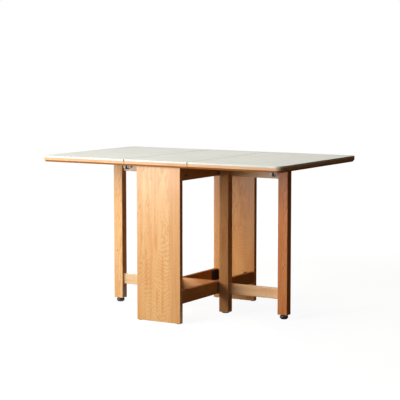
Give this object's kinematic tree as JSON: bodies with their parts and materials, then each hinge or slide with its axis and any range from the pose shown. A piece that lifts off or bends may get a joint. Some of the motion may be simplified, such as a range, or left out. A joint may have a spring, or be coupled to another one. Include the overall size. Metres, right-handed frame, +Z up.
{
  "type": "gate-leg drop-leaf dining table",
  "caption": "Rectangular oak dining table with a pale stone top; two drop leaves hinge on a narrow fixed centre and rest on two gates that swing out from the frame.",
  "frame": {"origin": "on the floor under the middle of the top", "axes": "+X along the length of the top towards the right leaf, +Y from the front to the back, +Z up"},
  "size_m": [1.292, 0.78, 0.75],
  "materials": {
    "stone": "satin sintered stone, opaque",
    "oak": "oiled oak, satin",
    "beech": "plain beech",
    "black_steel": "black powder coat, satin",
    "brown_steel": "dark brown enamel",
    "zinc_steel": "bright zinc plate",
    "white_plastic": "white moulded plastic",
    "ferrite": "sintered ferrite, dull black",
    "clear_rubber": "milky clear rubber",
    "black_plastic": "black moulded plastic"
  },
  "bodies": {
    "frame": {"centre_slab": "stone", "centre_board": "oak", "front_plank": "oak", "back_plank": "oak", "left_apron": "oak", "right_apron": "oak", "left_lower_rail": "oak", "right_lower_rail": "oak", "lower_cross_rail": "oak", "upper_cross_rail": "oak", "frame_dowels": "beech", "corner_brackets": "brown_steel", "corner_screws": "black_steel", "top_brackets": "black_steel", "top_bracket_screws": "zinc_steel", "leaf_hinge_centre_plates": "zinc_steel", "leaf_hinge_pins": "zinc_steel", "gate_hinge_rail_plates": "black_steel", "gate_hinge_pins": "zinc_steel", "frame_hinge_screws": "zinc_steel", "strike_pins": "black_steel", "plank_glides": "black_plastic"},
    "left_leaf": {"left_leaf_slab": "stone", "left_leaf_board": "oak", "left_leaf_hinge_plates": "zinc_steel", "left_leaf_hinge_screws": "zinc_steel"},
    "left_gate": {"left_inner_post": "oak", "left_outer_post": "oak", "left_gate_upper_rail": "oak", "left_gate_lower_rail": "oak", "left_gate_dowels": "beech", "left_gate_hinge_plates": "black_steel", "left_gate_hinge_screws": "zinc_steel", "left_catch_body": "white_plastic", "left_catch_magnet": "ferrite", "left_catch_screws": "zinc_steel", "left_glide": "black_plastic", "left_bumper": "clear_rubber", "left_foot_insert": "zinc_steel"},
    "left_foot": {"left_foot": "black_plastic", "left_foot_stud": "zinc_steel"},
    "right_leaf": {"right_leaf_slab": "stone", "right_leaf_board": "oak", "right_leaf_hinge_plates": "zinc_steel", "right_leaf_hinge_screws": "zinc_steel"},
    "right_gate": {"right_inner_post": "oak", "right_outer_post": "oak", "right_gate_upper_rail": "oak", "right_gate_lower_rail": "oak", "right_gate_dowels": "beech", "right_gate_hinge_plates": "black_steel", "right_gate_hinge_screws": "zinc_steel", "right_catch_body": "white_plastic", "right_catch_magnet": "ferrite", "right_catch_screws": "zinc_steel", "right_glide": "black_plastic", "right_bumper": "clear_rubber", "right_foot_insert": "zinc_steel"},
    "right_foot": {"right_foot": "black_plastic", "right_foot_stud": "zinc_steel"}
  },
  "joints": [
    {"name": "left_gate_swing", "type": "hinge", "parent": "frame", "child": "left_gate", "pos_m": [-0.1185, -0.0185, 0.4], "axis": [0, 0, 1], "range_deg": [0, 90]},
    {"name": "right_gate_swing", "type": "hinge", "parent": "frame", "child": "right_gate", "pos_m": [0.1185, -0.0185, 0.4], "axis": [0, 0, -1], "range_deg": [0, 90]},
    {"name": "left_leaf_lift", "type": "hinge", "parent": "frame", "child": "left_leaf", "pos_m": [-0.171, 0, 0.72], "axis": [0, 1, 0], "range_deg": [0, 2]},
    {"name": "right_leaf_lift", "type": "hinge", "parent": "frame", "child": "right_leaf", "pos_m": [0.171, 0, 0.72], "axis": [0, -1, 0], "range_deg": [0, 2]},
    {"name": "left_foot_screw", "type": "slide", "parent": "left_gate", "child": "left_foot", "axis": [0, 0, -1], "range_m": [0, 0.008]},
    {"name": "right_foot_screw", "type": "slide", "parent": "right_gate", "child": "right_foot", "axis": [0, 0, -1], "range_m": [0, 0.008]}
  ]
}
